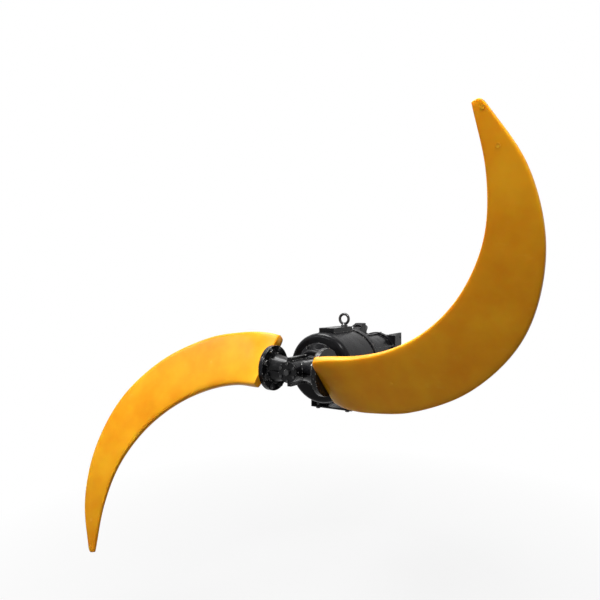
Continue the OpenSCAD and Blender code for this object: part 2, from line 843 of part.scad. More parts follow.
module foot_bolts() {
  placed() color("#3a3b3d") for (s = [0, 1]) mirror([0, s, 0]) foot_places() translate([0, 0, -base_z]) {
    translate([0, 0, -foot_head]) hex_z(foot_hex, foot_head);
    translate([0, 0, -eps]) cylinder(r = foot_bolt_r, h = rail_t + foot_end);
    translate([0, 0, rail_t]) hex_z(foot_hex, foot_nut);
  }
}

// Bearings
module output_bearing_outers() {
  placed() color("#9a9da0") for (b = [out_front, out_rear]) bearing_outer(b);
}
module output_bearing_balls() {
  placed() color("#c9ccd0") for (b = [out_front, out_rear]) bearing_balls(b);
}
module output_bearing_inners() {
  placed() color("#9a9da0") for (b = [out_front, out_rear]) bearing_inner(b);
}
module countershaft_bearing_outers() {
  placed() color("#9a9da0") at_countershaft() for (b = [cs_front, cs_rear]) bearing_outer(b);
}
module countershaft_bearing_balls() {
  placed() color("#c9ccd0") at_countershaft() for (b = [cs_front, cs_rear]) bearing_balls(b);
}
module countershaft_bearing_inners() {
  placed() color("#9a9da0") at_countershaft() for (b = [cs_front, cs_rear]) bearing_inner(b);
}
module motor_bearing_outers() {
  placed() color("#9a9da0") for (b = [mot_front, mot_rear]) bearing_outer(b);
}
module motor_bearing_balls() {
  placed() color("#c9ccd0") for (b = [mot_front, mot_rear]) bearing_balls(b);
}
module motor_bearing_inners() {
  placed() color("#9a9da0") for (b = [mot_front, mot_rear]) bearing_inner(b);
}

// Propeller
module blade_bolt_places() {
  for (s = [0, 180], i = [0 : blade_bolt_n - 1]) rotate([s, 0, 0])
    rotate([0, (i + 0.5) * 360 / blade_bolt_n, 0]) translate([blade_pcd / 2, 0, 0]) children();
}
module arm_cone() {
  translate([0, hub_d / 2, 0]) rotate([-90, 0, 0])
    cylinder(r1 = arm_d / 2, r2 = arm_root_r, h = disc_in - hub_d / 2 + eps);
}
module hub() {
  placed() color("#1b1c1e") difference() {
    union() {
      rod_x(hub_d / 2, -hub_front, hub_back);
      rod_y(arm_d / 2, -disc_in, disc_in);
      for (y = [-disc_in - disc_t, disc_in]) rod_y(disc_d / 2, y, y + disc_t);
      translate([-hub_front, -web_t / 2, -web_h]) cube([hub_front + hub_back - 30, web_t, 2 * web_h]);
      for (s = [0, 180]) rotate([s, 0, 0]) arm_cone();
    }
    rod_x(hub_seat_r + fit, -hub_front - eps, hub_back + eps);
    translate([-hub_front - eps, -key_w / 2 - fit, 0])
      cube([hub_front + hub_back + 2 * eps, key_w + 2 * fit, hub_seat_r + key_h / 2 + fit]);
    blade_bolt_places() rod_y(blade_bolt_d / 2 + fit, disc_in - eps, disc_in + disc_t + eps);
    cap_ring() rod_x(cap_bolt_d / 2 + fit, -hub_front - eps, -hub_front + 22);
  }
}
module cap_ring() {
  around_x(cap_bolt_n, (hub_seat_r + hub_d / 2) / 2) children();
}
module hub_cap() {
  front = -hub_front - cap_t;
  placed() color("#1b1c1e") difference() {
    rod_x(hub_d / 2 - 1, front, -hub_front);
    rod_x(cap_stud_d / 2 + fit, front - eps, -hub_front + eps);
    cap_ring() rod_x(cap_bolt_d / 2 + fit, front - eps, -hub_front + eps);
  }
}
module cap_bolts() {
  placed() color("#3a3b3d") {
    bolt_x(cap_stud_d, -hub_front - cap_t, cap_t + 38);
    cap_ring() bolt_x(cap_bolt_d, -hub_front - cap_t, cap_t + 20);
  }
}
module hub_key() {
  placed() color("#8a8d90") translate([-hub_front + 15, -key_w / 2, hub_seat_r - key_h / 2])
    cube([hub_front + hub_back - 30, key_w, key_h]);
}
module seal_collar() {
  placed() color("#2a2b2d") difference() {
    tube_x(hub_seat_r + fit, collar_r, hub_back, nose_x - run);
    for (i = [1, 2]) tube_x(collar_r - 4, collar_r + eps, hub_back + i * collar_len / 3 - 1.5,
      hub_back + i * collar_len / 3 + 1.5);
  }
}
module blade_flange() {
  difference() {
    rod_y(disc_d / 2, disc_in + disc_t, root_s);
    blade_bolt_places() rod_y(blade_bolt_d / 2 + fit, disc_in, root_s - 1);
  }
}
module near_flange() {
  placed() color("#1b1c1e") rotate([180, 0, 0]) blade_flange();
}
module far_flange() {
  placed() color("#1b1c1e") blade_flange();
}
module blade_bolts() {
  head = 0.6 * blade_bolt_d;
  placed() color("#3a3b3d") blade_bolt_places() {
    translate([0, disc_in - head, 0]) rotate([-90, 0, 0])
      hex_z(1.5 * blade_bolt_d, head);
    rod_y(blade_bolt_d / 2, disc_in - eps, root_s - 2);
  }
}
module near_blade() {
  placed() color("#f2a613") blade();
}
module far_blade() {
  placed() color("#f2a613") rotate([180, 0, 0]) blade();
}
module output_shaft() {
  collar_x = out_front[0] + out_front[1];
  placed() color("#8f9296") difference() {
    turned_x([
      [shaft_front, 0], [shaft_front, hub_seat_r], [out_front[0] - 4, hub_seat_r],
      [out_front[0] - 4, out_front[2]], [collar_x, out_front[2]], [collar_x, out_front[2] + 4],
      [out_rear[0], out_front[2] + 4], [out_rear[0], out_rear[2]], [shaft_end, out_rear[2]], [shaft_end, 0]
    ]);
    translate([-hub_front + 15 - fit, -key_w / 2 - fit, hub_seat_r - key_h / 2 - fit])
      cube([hub_front + hub_back - 30 + 2 * fit, key_w + 2 * fit, key_h]);
    rod_x(cap_stud_d / 2 + fit, shaft_front - eps, -hub_front + 40);
  }
}
module output_gear() {
  placed() color("#a58a5a") difference() {
    gear_x(m2, z4, 0, gear2_x, face2);
    rod_x(out_rear[2] + fit, gear2_x - eps, gear2_x + face2 + eps);
  }
}

// Countershaft with its pinion cut in one piece
module countershaft() {
  x0 = cs_front[0];
  x1 = cs_rear[0] + cs_rear[1];
  placed() color("#8f9296") at_countershaft() union() {
    rod_x(cs_front[2], x0, x0 + cs_front[1]);
    rod_x(m2 * z3 / 2 - 1.3 * m2, x0 + eps, x1 - eps);
    gear_x(m2, z3, 180 + 180 / z3, gear2_x - 3, face2 + 6);
    rod_x(cs_r, gear2_x + face2 + 8, x1 - cs_rear[1]);
    rod_x(cs_seat_r, gear1_x - 10, gear1_x + face1);
    rod_x(cs_seat_r + 5, gear1_x - 10, gear1_x);
    rod_x(cs_rear[2], x1 - cs_rear[1] - eps, x1);
  }
}
module intermediate_gear() {
  placed() color("#a58a5a") at_countershaft() difference() {
    gear_x(m1, z2, 180 + 180 / z2, gear1_x, face1);
    rod_x(cs_seat_r + fit, gear1_x - eps, gear1_x + face1 + eps);
  }
}

// Rotor with its pinion cut on the end of the shaft
module motor_shaft() {
  x0 = gear1_x - 3;
  placed() color("#8f9296") union() {
    gear_x(m1, z1, 0, x0, face1 + 6);
    rod_x(m1 * z1 / 2 - 1.3 * m1, x0, wall_x);
    rod_x(16, x0 + face1 + 6, wall_x + eps);
    rod_x(seal_r, wall_x - 4, mot_front[0]);
    rod_x(mot_front[2], mot_front[0] - 2, motor_x + 2);
    rod_x(mot_front[2] + 4, mot_front[0] + mot_front[1], mot_rear[0]);
    rod_x(rotor_seat_r, core_x - 20, core_x + core_len);
    rod_x(mot_rear[2], mot_rear[0] - eps, mot_rear[0] + mot_rear[1] + 2);
  }
}
module rotor_core() {
  placed() color("#7c8288") difference() {
    union() {
      rod_x(core_bore - air_gap, core_x, core_x + core_len);
      rod_x(core_bore - 8, core_x - 12, core_x + core_len + 12);
    }
    rod_x(rotor_seat_r + fit, core_x - 12 - eps, core_x + core_len + 12 + eps);
  }
}

gearbox_shell();
nose_cover();
nose_bolts();
seal_seat();
top_pad();
eye_bolt();
oil_plug();
motor_adapter();
flange_bolts();
shaft_seal();
motor_shell();
motor_bolts();
motor_end_cover();
stator_core();
stator_windings();
cable_inlet();
inlet_gland();
rear_gland();
motor_lead();
rear_plate();
bracket_plate();
bracket_bolts();
near_cheek();
far_cheek();
guide_pads();
pad_bolts();
near_rail();
far_rail();
near_saddle();
far_saddle();
near_gusset();
far_gusset();
base_plate();
base_bolts();
foot_bolts();
output_bearing_outers();
output_bearing_balls();
countershaft_bearing_outers();
countershaft_bearing_balls();
motor_bearing_outers();
motor_bearing_balls();
hub();
hub_cap();
cap_bolts();
hub_key();
seal_collar();
near_flange();
far_flange();
blade_bolts();
near_blade();
far_blade();
output_shaft();
output_gear();
output_bearing_inners();
motor_shaft();
rotor_core();
motor_bearing_inners();
countershaft();
intermediate_gear();
countershaft_bearing_inners();
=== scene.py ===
import json
import math

import bpy
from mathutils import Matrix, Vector


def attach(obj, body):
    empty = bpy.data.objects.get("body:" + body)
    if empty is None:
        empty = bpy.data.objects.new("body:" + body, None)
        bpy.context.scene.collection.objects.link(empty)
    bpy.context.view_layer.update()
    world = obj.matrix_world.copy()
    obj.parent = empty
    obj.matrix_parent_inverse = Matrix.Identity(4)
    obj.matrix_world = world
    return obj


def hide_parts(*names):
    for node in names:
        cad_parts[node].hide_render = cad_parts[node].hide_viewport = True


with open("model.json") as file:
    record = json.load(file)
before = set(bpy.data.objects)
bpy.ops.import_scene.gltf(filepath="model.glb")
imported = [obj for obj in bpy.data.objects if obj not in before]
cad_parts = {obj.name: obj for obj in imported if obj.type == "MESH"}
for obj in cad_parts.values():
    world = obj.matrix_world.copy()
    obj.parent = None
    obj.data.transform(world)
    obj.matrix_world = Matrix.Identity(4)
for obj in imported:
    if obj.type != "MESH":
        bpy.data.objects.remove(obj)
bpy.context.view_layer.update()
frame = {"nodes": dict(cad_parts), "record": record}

scene = bpy.context.scene
scene.view_settings.view_transform = "Standard"
print("frame loaded:", len(frame["nodes"]), "nodes")


# camera: stands in front of the propeller, a little to its left
shot = {"place": (-2.77501, -1.12525, 0.23154), "turn": -1.00265, "roll": 0.00545, "lens": 28.912}
bpy.ops.object.camera_add(location=shot["place"], rotation=(math.pi / 2, shot["roll"], shot["turn"]))
camera = bpy.context.object
camera.name = "photoCamera"
camera.data.sensor_width = 36
camera.data.lens = shot["lens"]
camera.data.clip_end = 200
scene.camera = camera


def clearPick():
    if bpy.context.object and bpy.context.object.mode != "OBJECT":
        bpy.ops.object.mode_set(mode="OBJECT")
    bpy.ops.object.select_all(action="DESELECT")


def pick(piece):
    clearPick()
    piece.select_set(True)
    bpy.context.view_layer.objects.active = piece


def editMode(piece, kind="FACE", select="SELECT"):
    pick(piece)
    bpy.ops.object.mode_set(mode="EDIT")
    bpy.ops.mesh.select_mode(type=kind)
    bpy.ops.mesh.select_all(action=select)


def objectMode():
    bpy.ops.object.mode_set(mode="OBJECT")


def selectFaces(piece, test):  # leaves the piece in edit mode with the faces that pass
    editMode(piece, "FACE", "DESELECT")
    objectMode()
    for face in piece.data.polygons:
        face.select = test(face)
    bpy.ops.object.mode_set(mode="EDIT")


def settle(piece):  # puts the place of a piece into its mesh
    pick(piece)
    bpy.ops.object.transform_apply(location=True, rotation=True, scale=True)


def joinPieces(pieces, name):
    pick(pieces[0])
    for piece in pieces[1:]:
        piece.select_set(True)
    bpy.ops.object.join()
    joined = bpy.context.object
    joined.name = joined.data.name = name
    return joined


def applyModifiers(piece):
    pick(piece)
    for modifier in list(piece.modifiers):
        bpy.ops.object.modifier_apply(modifier=modifier.name)


def addNode(mat, kind, values=None, **settings):
    node = mat.node_tree.nodes.new(kind)
    for key, value in settings.items():
        setattr(node, key, value)
    for key, value in (values or {}).items():
        node.inputs[key].default_value = value
    return node


def wire(mat, start, end):
    mat.node_tree.links.new(start, end)


def newFinish(name, values):
    mat = bpy.data.materials.new(name)
    mat.use_nodes = True
    shader = mat.node_tree.nodes["Principled BSDF"]
    for key, value in values.items():
        shader.inputs[key].default_value = value
    coords = addNode(mat, "ShaderNodeTexCoord").outputs["Object"]
    return mat, shader, coords


def noiseOn(mat, coords, scale, detail=2.0, rough=0.5, stretch=None):
    if stretch:
        turn = addNode(mat, "ShaderNodeMapping", {"Scale": stretch})
        wire(mat, coords, turn.inputs["Vector"])
        coords = turn.outputs["Vector"]
    noise = addNode(mat, "ShaderNodeTexNoise", {"Scale": scale, "Detail": detail, "Roughness": rough})
    wire(mat, coords, noise.inputs["Vector"])
    return noise.outputs["Fac"]


def rangeOf(mat, value, low, high, toLow, toHigh):
    spread = addNode(mat, "ShaderNodeMapRange", {1: low, 2: high, 3: toLow, 4: toHigh})
    wire(mat, value, spread.inputs[0])
    return spread.outputs[0]


def mathOn(mat, operation, a, b):
    node = addNode(mat, "ShaderNodeMath", operation=operation)
    wire(mat, a, node.inputs[0])
    wire(mat, b, node.inputs[1])
    return node.outputs[0]


def times(mat, a, b):
    return mathOn(mat, "MULTIPLY", a, b)


def plus(mat, a, b):
    return mathOn(mat, "ADD", a, b)


def shownRays(mat):  # 1 for the rays that show the white studio: seen, mirrored or through glass
    path = addNode(mat, "ShaderNodeLightPath")
    mirrored = mathOn(mat, "MAXIMUM", path.outputs["Is Glossy Ray"], path.outputs["Is Transmission Ray"])
    return mathOn(mat, "MAXIMUM", path.outputs["Is Camera Ray"], mirrored)


def blendColour(mat, mask, first, second):
    node = addNode(mat, "ShaderNodeMix", data_type="RGBA")
    wire(mat, mask, node.inputs[0])
    for socket, colour in ((node.inputs[6], first), (node.inputs[7], second)):
        if isinstance(colour, tuple):
            socket.default_value = (*colour, 1)
        else:
            wire(mat, colour, socket)
    return node.outputs[2]


def bumpOn(mat, height, strength, distance, under=None):
    bump = addNode(mat, "ShaderNodeBump", {"Strength": strength, "Distance": distance})
    wire(mat, height, bump.inputs["Height"])
    if under:
        wire(mat, under, bump.inputs["Normal"])
    return bump.outputs["Normal"]


def upFacing(mat, low, high):
    place = addNode(mat, "ShaderNodeNewGeometry")
    split = addNode(mat, "ShaderNodeSeparateXYZ")
    wire(mat, place.outputs["Normal"], split.inputs[0])
    return rangeOf(mat, split.outputs["Z"], low, high, 0, 1)


# thick black paint: orange peel, slow sags, dust on what faces up, chips along the edges; on the hub, bolts
# and seals the chips are pale bare steel that also stands in as painted glints
def blackPaint(name, look, edge=False):
    mat, shader, coords = newFinish(name, {
        "Specular IOR Level": look["shine"], "Coat Weight": look["coat"], "Coat Roughness": 0.06})
    sag = bumpOn(mat, noiseOn(mat, coords, look["sagScale"], 2), 0.5, look["sag"])
    peel = bumpOn(mat, noiseOn(mat, coords, look["peelScale"], 1.5), 0.5, look["peel"], sag)
    wire(mat, peel, shader.inputs["Normal"])
    wire(mat, peel, shader.inputs["Coat Normal"])
    grit = rangeOf(mat, noiseOn(mat, coords, 46, 6, 0.65), 0.44, 0.72, 0, look["dust"])
    dust = times(mat, upFacing(mat, 0.25, 1), grit)
    base = blendColour(mat, noiseOn(mat, coords, 9, 4), look["dark"], look["pale"])
    base = blendColour(mat, dust, base, look["dustColour"])
    rough = plus(mat, rangeOf(mat, noiseOn(mat, coords, 6, 4), 0.3, 0.7, *look["rough"]), dust)
    # edge chips: worn paint colour, and where the chip colour is pale bare steel, also painted glints along
    # the edges
    if edge:
        chipAndGlint = rangeOf(mat, noiseOn(mat, coords, 95, 6, 0.6), 0.56, 0.62, 0, look["chips"])
        base = blendColour(mat, chipAndGlint, base, look["chipColour"])
        rough = plus(mat, rough, rangeOf(mat, chipAndGlint, 0, 1, 0, 0.25))
    wire(mat, base, shader.inputs["Base Color"])
    wire(mat, rough, shader.inputs["Roughness"])
    return mat


castLook = {
    "dark": (0.005, 0.005, 0.006), "pale": (0.009, 0.009, 0.010), "dustColour": (0.085, 0.08, 0.072),
    "chipColour": (0.16, 0.15, 0.14), "chips": 0.75, "dust": 0.2, "rough": (0.14, 0.3),
    "shine": 0.07, "coat": 0.035, "sagScale": 16, "sag": 0.004, "peelScale": 240, "peel": 0.0005,
}
plateLook = dict(castLook, sagScale=11, sag=0.0025, peelScale=320, peel=0.0003, rough=(0.13, 0.27))
# pale bare-steel chips: real wear on the edges, made pale and frequent so they also act as painted glints
bareSteelChipsAndGlints = {"chips": 0.95, "chipColour": (0.42, 0.41, 0.39)}
hubLook = dict(castLook, shine=0.11, coat=0.06, sagScale=22, sag=0.003, dust=0.22, rough=(0.16, 0.33),
               **bareSteelChipsAndGlints)
boltLook = dict(castLook, sagScale=60, sag=0.001, peelScale=420, peel=0.0002, rough=(0.16, 0.3), shine=0.35,
                coat=0.25, dark=(0.012, 0.012, 0.013), pale=(0.02, 0.02, 0.021), **bareSteelChipsAndGlints)
sealLook = dict(boltLook, dark=(0.02, 0.02, 0.021), pale=(0.034, 0.034, 0.036), shine=0.25, coat=0.1)
glandLook = dict(sealLook, chips=0.9)
paints = {"cast": castLook, "plate": plateLook, "hub": hubLook, "bolt": boltLook, "seal": sealLook,
          "gland": glandLook}
paintSlots = {"cast": "cast_paint", "plate": "plate_paint", "hub": "hub_paint", "bolt": "bolt_steel",
              "seal": "seal_metal", "gland": "gland_metal"}


# turned or ground steel: fine rings of the tool, light scratches, a film of oil
def steelFinish(name, lineScale, roughness, dark, pale):
    mat, shader, coords = newFinish(name, {"Metallic": 1.0, "Anisotropic": 0.3})
    lines = noiseOn(mat, coords, lineScale, 3, 0.6, (1, 0.06, 0.06))
    oil = noiseOn(mat, coords, 18, 4)
    wire(mat, bumpOn(mat, lines, 0.4, 0.0002), shader.inputs["Normal"])
    wire(mat, rangeOf(mat, oil, 0.3, 0.7, *roughness), shader.inputs["Roughness"])
    film = plus(mat, times(mat, lines, oil), times(mat, oil, oil))
    wire(mat, blendColour(mat, film, dark, pale), shader.inputs["Base Color"])
    return mat


# soft black compounds: a dull skin with fine grain and pale rub marks
def rubberFinish(name, grainScale, depth, roughness, dark, pale):
    mat, shader, coords = newFinish(name, {"Specular IOR Level": 0.4})
    grain = noiseOn(mat, coords, grainScale, 3)
    rub = rangeOf(mat, noiseOn(mat, coords, 30, 5, 0.6), 0.5, 0.75, 0, 0.6)
    wire(mat, bumpOn(mat, grain, 0.4, depth), shader.inputs["Normal"])
    wire(mat, blendColour(mat, rub, dark, pale), shader.inputs["Base Color"])
    wire(mat, rangeOf(mat, grain, 0.3, 0.7, *roughness), shader.inputs["Roughness"])
    return mat


# amber polyurethane: clouded, satin, paler where it is scuffed, light runs through its thin edges
bladeLook = {
    "deep": (0.80, 0.29, 0.006), "bright": (0.90, 0.43, 0.014), "scuff": (0.95, 0.52, 0.06),
    "rough": (0.28, 0.44), "shine": 0.1, "glow": 0.3, "glowDepth": 0.02, "glowReach": (1.0, 0.42, 0.08),
}


def polyurethane(name, look):
    mat, shader, coords = newFinish(name, {
        "Subsurface Weight": look["glow"], "Subsurface Radius": look["glowReach"],
        "Subsurface Scale": look["glowDepth"], "Specular IOR Level": look["shine"]})
    cloud = noiseOn(mat, coords, 5, 4, 0.55)
    skin = noiseOn(mat, coords, 150, 2)
    wave = noiseOn(mat, coords, 7, 2)
    scuff = rangeOf(mat, noiseOn(mat, coords, 38, 8, 0.7, (1, 0.35, 1)), 0.6, 0.78, 0, 0.35)
    base = blendColour(mat, rangeOf(mat, cloud, 0.3, 0.7, 0, 1), look["deep"], look["bright"])
    base = blendColour(mat, scuff, base, look["scuff"])
    rough = plus(mat, rangeOf(mat, cloud, 0.3, 0.7, *look["rough"]), rangeOf(mat, scuff, 0, 0.35, 0, 0.15))
    under = bumpOn(mat, wave, 0.3, 0.004)
    wire(mat, bumpOn(mat, skin, 0.2, 0.0004, under), shader.inputs["Normal"])
    wire(mat, base, shader.inputs["Base Color"])
    wire(mat, rough, shader.inputs["Roughness"])
    return mat


steelLooks = {
    "bearing_steel": ("groundSteel", 900, (0.12, 0.24), (0.5, 0.5, 0.51), (0.66, 0.66, 0.68)),
    "shaft_steel": ("turnedSteel", 1400, (0.22, 0.36), (0.42, 0.42, 0.43), (0.56, 0.56, 0.57)),
    "gear_steel": ("oiledSteel", 700, (0.2, 0.34), (0.32, 0.31, 0.29), (0.45, 0.43, 0.4)),
    "core_steel": ("stackedSteel", 2600, (0.34, 0.5), (0.26, 0.26, 0.28), (0.4, 0.4, 0.42)),
    "winding_copper": ("varnishedCopper", 1900, (0.24, 0.4), (0.42, 0.17, 0.06), (0.62, 0.29, 0.11)),
}
rubberLooks = {
    "seal_face": ("sealFace", 800, 0.0001, (0.2, 0.35), (0.1, 0.1, 0.105), (0.15, 0.15, 0.155)),
    "seal_rubber": ("sealRubber", 500, 0.0003, (0.5, 0.7), (0.015, 0.015, 0.015), (0.035, 0.034, 0.033)),
    "lead_rubber": ("leadRubber", 420, 0.0004, (0.36, 0.55), (0.010, 0.010, 0.010), (0.032, 0.031, 0.03)),
    "pad_nylon": ("padNylon", 260, 0.0003, (0.36, 0.52), (0.016, 0.016, 0.018), (0.045, 0.045, 0.046)),
}
finishes = {paintSlots[kind]: blackPaint(kind + "Paint", look) for kind, look in paints.items()}
for slot, look in steelLooks.items():
    finishes[slot] = steelFinish(*look)
for slot, look in rubberLooks.items():
    finishes[slot] = rubberFinish(*look)
finishes["blade_polyurethane"] = polyurethane("amberPolyurethane", bladeLook)
edgeFinishes = {paintSlots[kind]: blackPaint(kind + "PaintEdge", look, True) for kind, look in paints.items()}
slotOf = {part["node"]: part["material_slot"] for part in frame["record"]["subparts"]}
for node, piece in frame["nodes"].items():  # every CAD node that stays gets its finish
    piece.data.materials.clear()
    piece.data.materials.append(finishes[slotOf[node]])
print("finishes made:", len(finishes) + len(edgeFinishes))

bodies = frame["record"]["behaviour"]["bodies"]
bodyOf = {node: body for body, nodes in bodies.items() for node in nodes}
edgeShape = {"segments": 2, "angle": 32, "flat": 0.8, "smooth": 40, "merge": 0.00002, "tiny": 0.000002}


def keep(piece, node):  # the piece rides with the node's body
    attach(piece, bodyOf[node])
    return piece


def smoothByAngle():
    bpy.ops.object.shade_smooth_by_angle(angle=math.radians(edgeShape["smooth"]))


# a merged copy of a CAD node, as the start of a piece that stands for it
def copyOf(node, name):
    cad = frame["nodes"][node]
    piece = bpy.data.objects.new(name, cad.data.copy())
    scene.collection.objects.link(piece)
    editMode(piece)
    bpy.ops.mesh.remove_doubles(threshold=edgeShape["merge"])
    bpy.ops.mesh.customdata_custom_splitnormals_clear()
    objectMode()
    return piece


# rounds every sharp edge of a CAD shape and gives the rounding its edge finish: worn chips, which on the hub,
# bolts and seals are pale enough to also be painted glints
def rounded(node, name, width):
    piece = copyOf(node, name)
    slot = slotOf[node]
    editMode(piece)
    bpy.ops.mesh.dissolve_limited(angle_limit=math.radians(edgeShape["flat"]))
    objectMode()
    piece.data.materials.clear()
    piece.data.materials.append(finishes[slot])
    piece.data.materials.append(edgeFinishes.get(slot, finishes[slot]))
    bevel = piece.modifiers.new("edges", "BEVEL")
    bevel.width = width
    bevel.segments = edgeShape["segments"]
    bevel.limit_method = "ANGLE"
    bevel.angle_limit = math.radians(edgeShape["angle"])
    bevel.use_clamp_overlap = False
    bevel.material = 1
    applyModifiers(piece)
    editMode(piece)
    bpy.ops.mesh.dissolve_degenerate(threshold=edgeShape["tiny"])
    objectMode()
    smoothByAngle()
    normals = piece.modifiers.new("flats", "WEIGHTED_NORMAL")
    normals.keep_sharp = True
    applyModifiers(piece)
    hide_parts(node)
    return keep(piece, node)


# castings and plates of the drive unit
edgeWidths = {
    "gearbox_shell": 0.003, "nose_cover": 0.0025, "motor_adapter": 0.0022, "motor_shell": 0.002,
    "motor_end_cover": 0.002, "top_pad": 0.0025, "cable_inlet": 0.004, "rear_plate": 0.0015,
    "bracket_plate": 0.0012, "near_cheek": 0.0012, "far_cheek": 0.0012, "near_rail": 0.0015,
    "far_rail": 0.0015, "near_saddle": 0.0012, "far_saddle": 0.0012, "near_gusset": 0.0012,
    "far_gusset": 0.0012, "base_plate": 0.0012, "guide_pads": 0.0015, "inlet_gland": 0.001,
    "rear_gland": 0.001, "hub": 0.002, "hub_cap": 0.0015, "near_flange": 0.0012, "far_flange": 0.0012,
    "seal_collar": 0.001, "nose_bolts": 0.0008, "flange_bolts": 0.0009, "motor_bolts": 0.0007,
    "bracket_bolts": 0.0009, "pad_bolts": 0.0006, "base_bolts": 0.0008, "foot_bolts": 0.0009,
    "oil_plug": 0.0009, "cap_bolts": 0.0006, "blade_bolts": 0.0009,
}


def camel(node):
    words = node.split("_")
    return words[0] + "".join(word.capitalize() for word in words[1:])


ownNames = {"hub": "hubCasting"}  # the CAD object already has the plain name
for node, width in edgeWidths.items():
    rounded(node, ownNames.get(node, camel(node)), width)
print("rounded pieces:", len(edgeWidths))


# blades: the CAD loft made quads again, root edge kept sharp, the rest smoothed
bladeShape = {"rootY": 0.143, "levels": 2, "rootCrease": 1.0}


def bladePiece(node, name, side):
    piece = copyOf(node, name)
    editMode(piece)
    bpy.ops.mesh.tris_convert_to_quads(face_threshold=math.radians(60), shape_threshold=math.radians(60))
    objectMode()
    crease = piece.data.attributes.new("crease_edge", "FLOAT", "EDGE")
    for edge in piece.data.edges:
        ends = [piece.data.vertices[i].co.y * side for i in edge.vertices]
        onRim = all(abs(y - bladeShape["rootY"]) < 0.0008 for y in ends)
        crease.data[edge.index].value = bladeShape["rootCrease"] if onRim else 0
    smooth = piece.modifiers.new("smooth", "SUBSURF")
    smooth.levels = smooth.render_levels = bladeShape["levels"]
    applyModifiers(piece)
    bpy.ops.object.shade_smooth()
    piece.data.materials.clear()
    piece.data.materials.append(finishes["blade_polyurethane"])
    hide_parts(node)
    return keep(piece, node)


nearBlade = bladePiece("near_blade", "nearBlade", -1)
farBlade = bladePiece("far_blade", "farBlade", 1)
print("blades:", len(nearBlade.data.polygons), "faces each")


# mould marks: three low plugs on the front of each blade, where the pins of the mould stood
markPlan = {"size": 0.0065, "depth": 0.006, "proud": 0.0016, "ring": 0.002, "dish": 0.0008, "shaftZ": -0.07,
            "places": ((-0.852, 0.7345), (-0.884, 0.636), (-0.449, -0.0816)),
            "castFrom": -2.5, "softEdge": 0.0004}
# the plugs are paler than the blade: partly scuffed plastic, partly a painted highlight so each plug reads as
# a bright dot
markLookScuffAndHighlight = dict(bladeLook, deep=(0.86, 0.33, 0.012), bright=(0.93, 0.46, 0.03))
markFinishScuffAndHighlight = polyurethane("plugPolyurethane", markLookScuffAndHighlight)


def softenEdges(piece, width):
    soft = piece.modifiers.new("soft", "BEVEL")
    soft.width = width
    soft.segments = 2
    soft.limit_method = "ANGLE"
    applyModifiers(piece)


def mouldMarks(blade, name, side):
    marks = []
    for y, z in markPlan["places"]:
        if side > 0:
            y, z = -y, 2 * markPlan["shaftZ"] - z
        place, normal = blade.ray_cast(Vector((markPlan["castFrom"], y, z)), Vector((1, 0, 0)))[1:3]
        seat = place - normal * (markPlan["depth"] / 2 - markPlan["proud"])
        clearPick()
        bpy.ops.mesh.primitive_cylinder_add(vertices=28, radius=markPlan["size"], depth=markPlan["depth"],
                                            location=seat, rotation=normal.to_track_quat("Z", "Y").to_euler())
        mark = bpy.context.object
        selectFaces(mark, lambda face: face.normal.z > 0.9)
        bpy.ops.mesh.inset(thickness=markPlan["ring"])
        bpy.ops.transform.translate(value=normal * -markPlan["dish"])
        objectMode()
        softenEdges(mark, markPlan["softEdge"])
        settle(mark)
        marks.append(mark)
    piece = joinPieces(marks, name)
    smoothByAngle()
    piece.data.materials.append(markFinishScuffAndHighlight)
    return keep(piece, "near_blade")


mouldMarks(nearBlade, "nearBladeMarks", -1)
mouldMarks(farBlade, "farBladeMarks", 1)


# weld beads: a round drawn along the seam step by step, swelling and shrinking as the weld ripples
beadPlan = {"step": 0.0055, "swell": 1.2, "sides": 10, "rough": 0.0004}


def straightBead(start, end, radius):
    start, end = Vector(start), Vector(end)
    steps = max(4, round((end - start).length / beadPlan["step"]))
    move = (end - start) / steps
    clearPick()
    bpy.ops.mesh.primitive_circle_add(vertices=beadPlan["sides"], radius=radius, fill_type="NGON",
                                      location=start, rotation=move.to_track_quat("Z", "Y").to_euler())
    bead = bpy.context.object
    settle(bead)
    editMode(bead)
    for step in range(steps):
        bpy.ops.mesh.extrude_region_move(TRANSFORM_OT_translate={"value": move})
        swell = beadPlan["swell"] if step % 2 == 0 else 1 / beadPlan["swell"]
        bpy.ops.transform.resize(value=(swell, swell, swell), center_override=start + move * (step + 1))
    bpy.ops.mesh.select_all(action="SELECT")
    bpy.ops.mesh.normals_make_consistent(inside=False)
    objectMode()
    return bead


def roundBead(centre, radius, thick):  # round an arm, about an axis along Y
    clearPick()
    bpy.ops.mesh.primitive_circle_add(vertices=beadPlan["sides"], radius=thick,
                                      location=Vector(centre) + Vector((radius, 0, 0)))
    bead = bpy.context.object
    settle(bead)
    steps = 2 * round(math.pi * radius / beadPlan["step"])
    editMode(bead, "VERT")
    bpy.ops.mesh.spin(steps=steps, angle=2 * math.pi, center=centre, axis=(0, 1, 0))
    bpy.ops.mesh.select_all(action="SELECT")
    bpy.ops.mesh.remove_doubles(threshold=0.0001)
    bpy.ops.mesh.normals_make_consistent(inside=False)
    objectMode()
    return bead


def weldPiece(name, beads, node):
    piece = joinPieces(beads, name)
    editMode(piece)
    bpy.ops.transform.vertex_random(offset=beadPlan["rough"], uniform=0.2, seed=len(beads))
    objectMode()
    smooth = piece.modifiers.new("smooth", "SUBSURF")
    smooth.levels = smooth.render_levels = 1
    applyModifiers(piece)
    bpy.ops.object.shade_smooth()
    piece.data.materials.append(edgeFinishes[slotOf[node]])
    return keep(piece, node)


